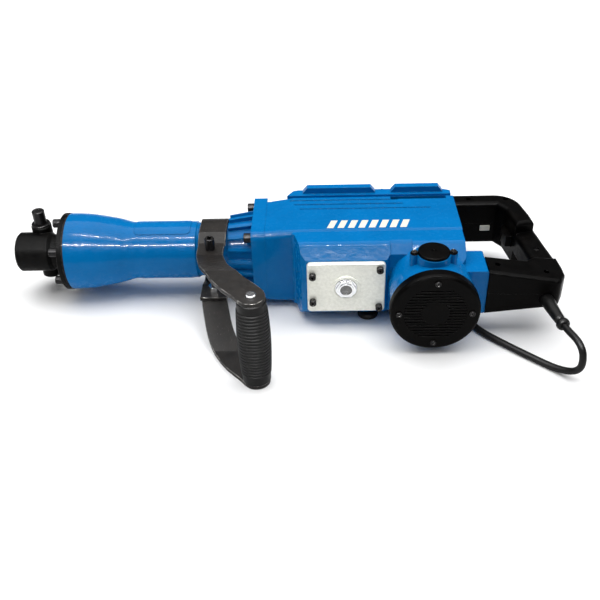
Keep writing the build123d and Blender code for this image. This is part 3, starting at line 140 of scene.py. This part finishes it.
class Finish:
    """A material being built: a Principled shader fed by procedural patterns measured in metres."""

    def __init__(self, name, **sockets):
        self.material = bpy.data.materials.new(name)
        self.material.use_nodes = True
        self.tree = self.material.node_tree
        self.shader = self.tree.nodes["Principled BSDF"]
        self.place = self.add("ShaderNodeTexCoord").outputs["Object"]
        for socket, value in sockets.items():
            self.set(socket, value)

    def set(self, socket, value):
        """Sets a socket of the shader, named like coat_roughness, to a value or to a node's output."""
        target = self.shader.inputs[socket.replace("_", " ").title().replace("Ior", "IOR")]
        if isinstance(value, bpy.types.NodeSocket):
            self.tree.links.new(value, target)
        elif isinstance(value, tuple):
            target.default_value = (*value, 1)
        else:
            target.default_value = value

    def add(self, kind, inputs=(), **settings):
        """A new node with its sockets set or linked, and its properties set."""
        node = self.tree.nodes.new(kind)
        for key, value in settings.items():
            setattr(node, key, value)
        for key, value in dict(inputs).items():
            if isinstance(value, bpy.types.NodeSocket):
                self.tree.links.new(value, node.inputs[key])
            else:
                node.inputs[key].default_value = value
        return node

    def stretched(self, factors):
        return self.add("ShaderNodeMapping", {"Vector": self.place, "Scale": factors}).outputs[0]

    def noise(self, size, detail=3.0, roughness=0.55, stretch=None):
        """Cloudy noise whose blotches are about size metres across, 0 to 1."""
        place = self.stretched(stretch) if stretch else self.place
        inputs = {"Vector": place, "Scale": 1 / size, "Detail": detail, "Roughness": roughness}
        return self.add("ShaderNodeTexNoise", inputs).outputs["Fac"]

    def cells(self, size):
        """Distance from the nearest point of a scatter about size metres apart."""
        inputs = {"Vector": self.place, "Scale": 1 / size}
        return self.add("ShaderNodeTexVoronoi", inputs).outputs["Distance"]

    def spread(self, value, from_low, from_high, low=0.0, high=1.0):
        """Maps a range of a pattern to low...high, clamped."""
        inputs = {"Value": value, "From Min": from_low, "From Max": from_high,
                  "To Min": low, "To Max": high}
        return self.add("ShaderNodeMapRange", inputs).outputs[0]

    def times(self, first, second):
        return self.add("ShaderNodeMath", {0: first, 1: second}, operation="MULTIPLY").outputs[0]

    def most(self, first, second):
        return self.add("ShaderNodeMath", {0: first, 1: second}, operation="MAXIMUM").outputs[0]

    def blend(self, amount, first, second):
        """Mixes two colours, given as tuples or outputs."""
        mix = self.add("ShaderNodeMix", {"Factor": amount}, data_type="RGBA")
        for key, value in ((6, first), (7, second)):
            if isinstance(value, tuple):
                mix.inputs[key].default_value = (*value, 1)
            else:
                self.tree.links.new(value, mix.inputs[key])
        return mix.outputs[2]

    def edges(self, radius, low=0.03, high=0.2):
        """1 on sharp outer and inner edges, 0 on flat and gently curved surface."""
        round_normal = self.add("ShaderNodeBevel", {"Radius": radius}, samples=6).outputs[0]
        plain_normal = self.add("ShaderNodeNewGeometry").outputs["Normal"]
        dot = self.add("ShaderNodeVectorMath", {0: round_normal, 1: plain_normal}, operation="DOT_PRODUCT")
        return self.spread(dot.outputs["Value"], 1 - low, 1 - high)

    def relief(self, layers, edge_radius=0.0):
        """Bumps the surface with (pattern, height in metres) layers, over edges softened to edge_radius."""
        normal = None
        if edge_radius:
            normal = self.add("ShaderNodeBevel", {"Radius": edge_radius}, samples=6).outputs[0]
        for pattern, height in layers:
            bump = self.add("ShaderNodeBump", {"Height": pattern, "Distance": height, "Strength": 1.0})
            if normal:
                self.tree.links.new(normal, bump.inputs["Normal"])
            normal = bump.outputs[0]
        self.tree.links.new(normal, self.shader.inputs["Normal"])


# ---- materials -----------------------------------------------------------------------------------
def blue_paint():
    """Thick gloss enamel over a sand casting: runs, orange peel, and rubbed edges."""
    paint = Finish("blue_paint", coat_weight=0.5, coat_ior=1.22, coat_roughness=0.07,
                   specular_ior_level=0.03)
    cloud = paint.noise(0.05)
    paint_colour = paint.blend(paint.spread(cloud, 0.35, 0.7), (0.0, 0.132, 0.375), (0.0, 0.150, 0.42))
    scuffs = paint.times(paint.edges(0.0012), paint.spread(paint.noise(0.012, 5), 0.52, 0.62, 0, 0.5))
    paint.set("base_color", paint.blend(scuffs, paint_colour, (0.02, 0.19, 0.42)))
    paint.set("roughness", paint.spread(paint.noise(0.008, 4), 0.3, 0.7, 0.16, 0.34))
    paint.relief([(paint.noise(0.010, 2), 0.0006), (paint.noise(0.0022, 2), 0.00006)], 0.0014)
    return paint.material


def black_cast():
    """Phosphated steel casting, grainy and dull, a little rubbed on its corners."""
    cast = Finish("black_cast", specular_ior_level=0.05)
    wear = cast.times(cast.edges(0.0012), cast.spread(cast.noise(0.006, 5), 0.45, 0.6, 0, 0.8))
    cloud = cast.spread(cast.noise(0.015, 4), 0.3, 0.7)
    dull = cast.blend(cloud, (0.0008, 0.0008, 0.0009), (0.004, 0.0036, 0.0032))
    cast.set("base_color", cast.blend(wear, dull, (0.09, 0.085, 0.08)))
    cast.set("roughness", cast.spread(cast.noise(0.004), 0.3, 0.7, 0.34, 0.6))
    cast.relief([(cast.noise(0.0016, 4), 0.0002)], 0.0008)
    return cast.material


def black_strap():
    """Satin paint on rolled steel strap, worn to bright metal along its edges."""
    strap = Finish("black_strap", specular_ior_level=0.22)
    patches = strap.spread(strap.noise(0.008, 5), 0.42, 0.56, 0, 0.9)
    worn = strap.times(strap.edges(0.0016, 0.02, 0.12), patches)
    scratches = strap.spread(strap.noise(0.004, 3, stretch=(6, 1, 1)), 0.66, 0.72, 0, 0.35)
    cloud = strap.spread(strap.noise(0.02, 4), 0.3, 0.7)
    paint = strap.blend(cloud, (0.006, 0.005, 0.0045), (0.015, 0.012, 0.010))
    bare = strap.most(worn, scratches)
    strap.set("base_color", strap.blend(bare, paint, (0.32, 0.31, 0.29)))
    strap.set("metallic", bare)
    strap.set("roughness", strap.spread(strap.noise(0.006, 4), 0.3, 0.7, 0.36, 0.55))
    strap.relief([(strap.noise(0.0018, 3), 0.00012)], 0.0012)
    return strap.material


def black_screw():
    """Black-oxide screws, with bright spots where a key has turned them."""
    screw = Finish("black_screw", metallic=0.5, specular_ior_level=0.3)
    rubbed = screw.times(screw.edges(0.0008, 0.03, 0.25), screw.spread(screw.noise(0.003, 3), 0.4, 0.6))
    screw.set("base_color", screw.blend(rubbed, (0.006, 0.0055, 0.006), (0.26, 0.25, 0.24)))
    screw.set("roughness", screw.spread(screw.noise(0.002, 3), 0.3, 0.7, 0.25, 0.45))
    screw.relief([(screw.noise(0.0010, 2), 0.00004)], 0.0004)
    return screw.material


def moulded(name, colour, other, roughness):
    """Injection-moulded plastic with a spark-eroded grain and a few handling marks."""
    plastic = Finish(name, specular_ior_level=0.04)
    marks = plastic.spread(plastic.noise(0.02, 6, 0.7), 0.45, 0.75)
    plastic.set("base_color", plastic.blend(marks, colour, other))
    handled = plastic.noise(0.012, 5)
    plastic.set("roughness", plastic.spread(handled, 0.3, 0.7, roughness - 0.07, roughness + 0.1))
    plastic.relief([(plastic.noise(0.02, 2), 0.0004), (plastic.cells(0.0009), 0.00005)], 0.0009)
    return plastic.material


def rubber(name, colour, roughness):
    """Rubber with a dusty bloom and a soft, slightly pitted skin."""
    skin = Finish(name, specular_ior_level=0.14)
    bloom = skin.spread(skin.noise(0.01, 5, 0.65), 0.45, 0.75)
    dusty = tuple(1.6 * c + 0.003 for c in colour)
    skin.set("base_color", skin.blend(bloom, colour, dusty))
    skin.set("roughness", skin.spread(skin.noise(0.005, 4), 0.3, 0.7, roughness - 0.08, roughness + 0.1))
    skin.relief([(skin.noise(0.0012, 3), 0.00006)], 0.0006)
    return skin.material


def cast_aluminium():
    """Fine-blasted aluminium casting, mottled by its pores."""
    cast = Finish("cast_aluminium", metallic=0.35, ior=1.6)
    mottle = cast.spread(cast.noise(0.004, 6, 0.7), 0.35, 0.7)
    stain = cast.spread(cast.noise(0.03, 3), 0.5, 0.75, 0, 0.5)
    bright = cast.blend(mottle, (0.67, 0.67, 0.60), (0.83, 0.83, 0.76))
    cast.set("base_color", cast.blend(stain, bright, (0.60, 0.60, 0.54)))
    cast.set("roughness", cast.spread(cast.noise(0.002, 4), 0.3, 0.7, 0.36, 0.56))
    cast.relief([(cast.noise(0.0011, 4), 0.00009)], 0.0008)
    return cast.material


def bare_metal(name, colour, other, roughness, stretch=(1, 1, 1)):
    """Ground or plated metal with fine marks along one direction."""
    metal = Finish(name, metallic=1.0)
    marks = metal.noise(0.0015, 4, stretch=stretch)
    metal.set("base_color", metal.blend(metal.spread(metal.noise(0.01, 4), 0.35, 0.7), colour, other))
    metal.set("roughness", metal.spread(marks, 0.3, 0.7, roughness - 0.06, roughness + 0.1))
    metal.relief([(marks, 0.000015)], 0.0004)
    return metal.material


def copper():
    """Enamelled copper wire, close turns side by side under varnish, with painted shade darkening the grooves
    between the turns.
    """
    wire = Finish("copper", metallic=0.85, coat_weight=0.6, coat_roughness=0.15)
    inputs = {"Vector": wire.place, "Scale": 260.0, "Distortion": 1.5, "Detail": 1.0}
    turns = wire.add("ShaderNodeTexWave", inputs, bands_direction="DIAGONAL").outputs["Fac"]
    # the dark copper falls in the wave's low grooves between turns: painted shade, not a colour of the wire
    wire.set("base_color", wire.blend(turns, (0.28, 0.09, 0.03), (0.62, 0.25, 0.09)))
    wire.set("roughness", wire.spread(wire.noise(0.004), 0.3, 0.7, 0.28, 0.45))
    wire.relief([(turns, 0.0003)])
    return wire.material


def gauge_glass():
    """Clear disc over a dark perforated screen, its holes darkened with painted shade."""
    glass = Finish("gauge_glass", coat_weight=1.0, coat_roughness=0.03)
    shaded_holes = glass.spread(glass.cells(0.0016), 0.25, 0.45)
    # near-black dots where the holes sink: painted shade inside the holes
    glass.set("base_color", glass.blend(shaded_holes, (0.004, 0.004, 0.004), (0.10, 0.10, 0.095)))
    glass.set("roughness", glass.spread(glass.noise(0.003), 0.3, 0.7, 0.3, 0.5))
    glass.relief([(shaded_holes, 0.0004)])
    return glass.material


MATERIALS = {
    "blue_paint": blue_paint(),
    "black_cast": black_cast(),
    "black_strap": black_strap(),
    "black_screw": black_screw(),
    "black_plastic": moulded("black_plastic", (0.0005, 0.0004, 0.0004), (0.0022, 0.0016, 0.0012), 0.36),
    "grip_rubber": rubber("grip_rubber", (0.004, 0.004, 0.004), 0.45),
    "seal_rubber": rubber("seal_rubber", (0.005, 0.005, 0.005), 0.6),
    "cable_rubber": rubber("cable_rubber", (0.003, 0.003, 0.003), 0.4),
    "cast_aluminium": cast_aluminium(),
    "steel": bare_metal("steel", (0.42, 0.42, 0.43), (0.56, 0.56, 0.56), 0.28, (1, 8, 8)),
    "zinc": bare_metal("zinc", (0.62, 0.63, 0.65), (0.75, 0.75, 0.74), 0.17),
    "copper": copper(),
    "carbon": moulded("carbon", (0.02, 0.02, 0.021), (0.045, 0.045, 0.045), 0.6),
    "white_plastic": moulded("white_plastic", (0.72, 0.68, 0.58), (0.80, 0.77, 0.69), 0.35),
    "gauge_glass": gauge_glass(),
}


def dress_nodes():
    for part in frame["record"]["subparts"]:
        mesh = nodes[part["node"]].data
        mesh.materials.clear()
        mesh.materials.append(MATERIALS[part["material_slot"]])


dress_nodes()


# ---- cable ---------------------------------------------------------------------------------------
COIL_CENTRE = (0.185, 0.141)
COIL_OUT_R = 0.0638
COIL_PITCH = 0.0092
COIL_TURNS = 3
COIL_STEPS = 12
CLIMB = (32, 40)                               # steps over which the cable rises onto the second layer
RUN_POINTS = [
    (0.372, -0.112, -0.008), (0.378, -0.165, -0.009), (0.397, -0.211, -0.011), (0.3965, -0.2103, CABLE_Z),
    (0.326, -0.147, CABLE_Z), (0.286, -0.105, CABLE_Z), (0.280, -0.062, CABLE_Z), (0.288, -0.020, CABLE_Z),
    (0.291, 0.026, CABLE_Z), (0.279, 0.063, CABLE_Z), (0.237, 0.0785, CABLE_Z),
]
TAIL_POINTS = [
    (0.141, 0.0765, CABLE_Z + COIL_PITCH), (0.104, 0.087, CABLE_Z), (0.076, 0.124, CABLE_Z + 0.0005),
    (0.073, 0.164, -0.0555),
]


def coil_points():
    """Some turns inwards on the floor, then as many outwards on top of them."""
    half_way = COIL_STEPS * COIL_TURNS
    inner = COIL_OUT_R - COIL_PITCH * COIL_TURNS
    points = []
    for k in range(2 * half_way):
        step = k + 0.5
        angle = -pi / 2 - step * 2 * pi / COIL_STEPS
        radius = (inner + COIL_PITCH * abs(step - half_way) / COIL_STEPS) / cos(pi / COIL_STEPS)
        rise = min(1, max(0, (step - CLIMB[0]) / (CLIMB[1] - CLIMB[0])))
        x = COIL_CENTRE[0] + radius * cos(angle)
        y = COIL_CENTRE[1] + radius * sin(angle)
        points.append((x, y, CABLE_Z + COIL_PITCH * rise))
    return points


def nurbs(name, points, radius=0.0):
    """A curve of one open NURBS spline, given from MACHINE.

    Its bevel is 1 m, and each point's radius scales that down.
    """
    data = bpy.data.curves.new(name, "CURVE")
    data.dimensions = "3D"
    data.resolution_u = 10
    data.bevel_depth = 1.0 if radius else 0.0
    data.bevel_resolution = 5
    data.use_fill_caps = radius > 0
    spline = data.splines.new("NURBS")
    spline.points.add(len(points) - 1)
    for point, place in zip(spline.points, points):
        point.co = (*at(*place), 1)
        point.radius = radius
    spline.order_u = 3
    spline.use_endpoint_u = True
    return data


def make_cable():
    route = RUN_POINTS + coil_points() + TAIL_POINTS
    cable = link_piece("mains_cable", nurbs("mains_cable", route, CABLE_R), "machine", "cable_rubber")
    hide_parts("cord_run", "cord_coil", "cord_tail")
    make_relief()
    make_tie()


def centre_line(points):
    """Places along the smooth line of a NURBS route, as vectors."""
    data = nurbs("line", points)
    line = bpy.data.objects.new("line", data)
    bpy.context.scene.collection.objects.link(line)
    mesh = bpy.data.meshes.new_from_object(line)
    places = [vertex.co.copy() for vertex in mesh.vertices]
    bpy.data.objects.remove(line)
    bpy.data.meshes.remove(mesh)
    bpy.data.curves.remove(data)
    return places


def place_along(line, distance):
    """Point and direction at a distance along a polyline."""
    for start, end in zip(line, line[1:]):
        step = (end - start).length
        if distance <= step and step > 0:
            return start.lerp(end, distance / step), (end - start).normalized()
        distance -= step
    return line[-1], (line[-1] - line[-2]).normalized()


ROUND_SIDES = 40                               # facets round a turned piece
TURNS = [2 * pi * k / ROUND_SIDES for k in range(ROUND_SIDES)]


def closed_skin(rings):
    """A bmesh skin over rings of places, with both ends closed."""
    skin = bmesh.new()
    rings = [[skin.verts.new(place) for place in ring] for ring in rings]
    for near, far in zip(rings, rings[1:]):
        for k in range(ROUND_SIDES):
            skin.faces.new((near[k], near[k - 1], far[k - 1], far[k]))
    skin.faces.new(rings[0])
    skin.faces.new(reversed(rings[-1]))
    return skin


def lathe_along(line, profile):
    """Rings of places round a line, one for each (distance along it, radius)."""
    rings = []
    for distance, radius in profile:
        centre, ahead = place_along(line, distance)
        side = ahead.cross(Vector((0, 0, 1))).normalized()
        over = side.cross(ahead)
        rings.append([centre + radius * (side * cos(turn) + over * sin(turn)) for turn in TURNS])
    return rings


# ---- strain relief -------------------------------------------------------------------------------
RELIEF_LENGTH = 0.060
RELIEF_ROOT_R, RELIEF_TIP_R = 0.0084, 0.0062
TAPER_START, TAPER_STEPS = 0.014, 6
BEAD_HALF, BEAD_STEPS = 0.0045, 12
BEAD_LOW_R, BEAD_RISE = 0.0058, 0.0024


def relief_profile():
    """A plain tapered sleeve with a rounded bead at its free end, from inside the handle outwards."""
    profile = [(0.0, RELIEF_ROOT_R - 0.0004), (TAPER_START - 0.004, RELIEF_ROOT_R)]
    bead = RELIEF_LENGTH - 2 * BEAD_HALF
    for k in range(TAPER_STEPS + 1):
        part = k / TAPER_STEPS
        profile.append((TAPER_START + (bead - TAPER_START) * part,
                        RELIEF_ROOT_R - (RELIEF_ROOT_R - RELIEF_TIP_R) * part))
    for k in range(BEAD_STEPS + 1):
        turn = pi * k / BEAD_STEPS
        profile.append((bead + BEAD_HALF - BEAD_HALF * cos(turn), BEAD_LOW_R + BEAD_RISE * sin(turn)))
    return profile


def make_relief():
    sleeve = closed_skin(lathe_along(centre_line(RUN_POINTS), relief_profile()))
    piece = mesh_piece("relief_sleeve", sleeve, "machine", "cable_rubber")
    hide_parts("strain_relief")
    return piece


# ---- band round the coil ---------------------------------------------------------------------------
TIE_AT = radians(40)                           # where the band sits round the coil
TIE_WIDTH = 0.005
TIE_T = 0.0012
TIE_CLEARANCE = 0.0001
TIE_CORNER, CORNER_STEPS = 0.0044, 6


def oval(width, height):
    """Points round a rectangle with rounded corners, centred on the origin."""
    points = []
    for quarter in range(4):
        turn = quarter * pi / 2
        x = (width / 2 - TIE_CORNER) * (1 if quarter in (0, 3) else -1)
        y = (height / 2 - TIE_CORNER) * (1 if quarter in (0, 1) else -1)
        for k in range(CORNER_STEPS + 1):
            angle = turn + k * pi / 2 / CORNER_STEPS
            points.append((x + TIE_CORNER * cos(angle), y + TIE_CORNER * sin(angle)))
    return points


def make_tie():
    """A flat rubber band that holds the coil together. It is as high as the two layers of cable."""
    tie = bmesh.new()
    out = Vector((cos(TIE_AT), sin(TIE_AT), 0))
    along = Vector((-sin(TIE_AT), cos(TIE_AT), 0))
    middle = COIL_OUT_R - COIL_PITCH * COIL_TURNS / 2
    centre = at(*COIL_CENTRE, CABLE_Z + COIL_PITCH / 2) + out * middle
    width = COIL_PITCH * COIL_TURNS + 2 * CABLE_R
    height = COIL_PITCH + 2 * CABLE_R
    loops = []
    for grow, edge in ((TIE_CLEARANCE, -1), (TIE_T, -1), (TIE_T, 1), (TIE_CLEARANCE, 1)):
        aside = along * (edge * TIE_WIDTH / 2)
        loops.append([tie.verts.new(centre + out * x + aside + Vector((0, 0, y)))
                      for x, y in oval(width + 2 * grow, height)])
    for near, far in zip(loops, loops[1:] + loops[:1]):
        for k in range(len(near)):
            tie.faces.new((near[k - 1], near[k], far[k], far[k - 1]))
    return mesh_piece("coil_tie", tie, "machine", "seal_rubber")


make_cable()


# ---- small pieces on the housing -----------------------------------------------------------------
MARK_BARS = 8
MARK_START, MARK_PITCH, MARK_WIDTH = 0.098, 0.0135, 0.0085
MARK_LOW, MARK_HIGH, MARK_SLANT = -0.043, -0.024, 0.006
MARK_SUNK, MARK_RAISED = 0.0002, 0.00015       # below and above the housing's upper flat
CASE_TOP = 0.056
FOOT_TOP = (0.152, -0.070, -0.0543)
FOOT_PROFILE = [(0.0005, 0.0125), (0.0055, 0.0135), (0.0080, 0.0135), (0.0088, 0.0132), (0.0093, 0.0125),
                (0.0096, 0.011)]               # (depth below FOOT_TOP, radius)


def prism(mesh, outline, low, high):
    """Adds a prism over an outline given as corners of (X, Y) from MACHINE."""
    lower = [mesh.verts.new(at(x, y, low)) for x, y in outline]
    upper = [mesh.verts.new(at(x, y, high)) for x, y in outline]
    mesh.faces.new(upper)
    mesh.faces.new(reversed(lower))
    for k in range(len(outline)):
        mesh.faces.new((lower[k - 1], lower[k], upper[k], upper[k - 1]))


def make_mark():
    """A row of plain slanted bars in white paint on the upper flat of the housing."""
    bars = bmesh.new()
    for k in range(MARK_BARS):
        x = MARK_START + k * MARK_PITCH
        prism(bars, [(x, MARK_LOW), (x + MARK_WIDTH, MARK_LOW), (x + MARK_WIDTH + MARK_SLANT, MARK_HIGH),
                     (x + MARK_SLANT, MARK_HIGH)], CASE_TOP - MARK_SUNK, CASE_TOP + MARK_RAISED)
    mark = mesh_piece("white_mark", bars, "machine", "white_plastic")
    mark.data.shade_flat()


def make_foot():
    """A small rubber foot under the crank box."""
    rings = [[at(*FOOT_TOP) + Vector((radius * cos(turn), radius * sin(turn), -down)) for turn in TURNS]
             for down, radius in FOOT_PROFILE]
    mesh_piece("rubber_foot", closed_skin(rings), "machine", "seal_rubber")


make_mark()
make_foot()


# ---- floor ---------------------------------------------------------------------------------------
FLOOR_HALF = 6


def make_floor():
    """White paper on the floor, much larger than the view."""
    floor_mesh = bmesh.new()
    bmesh.ops.create_grid(floor_mesh, x_segments=8, y_segments=8, size=FLOOR_HALF)
    data = bpy.data.meshes.new("floor")
    floor_mesh.to_mesh(data)
    floor_mesh.free()
    paper = Finish("floor_paper")
    paper.set("base_color", paper.blend(paper.noise(0.4, 2), (0.93, 0.93, 0.93), (0.95, 0.95, 0.95)))
    paper.set("roughness", paper.spread(paper.noise(0.05), 0.3, 0.7, 0.75, 0.9))
    data.materials.append(paper.material)
    floor = bpy.data.objects.new("floor", data)
    bpy.context.scene.collection.objects.link(floor)


make_floor()
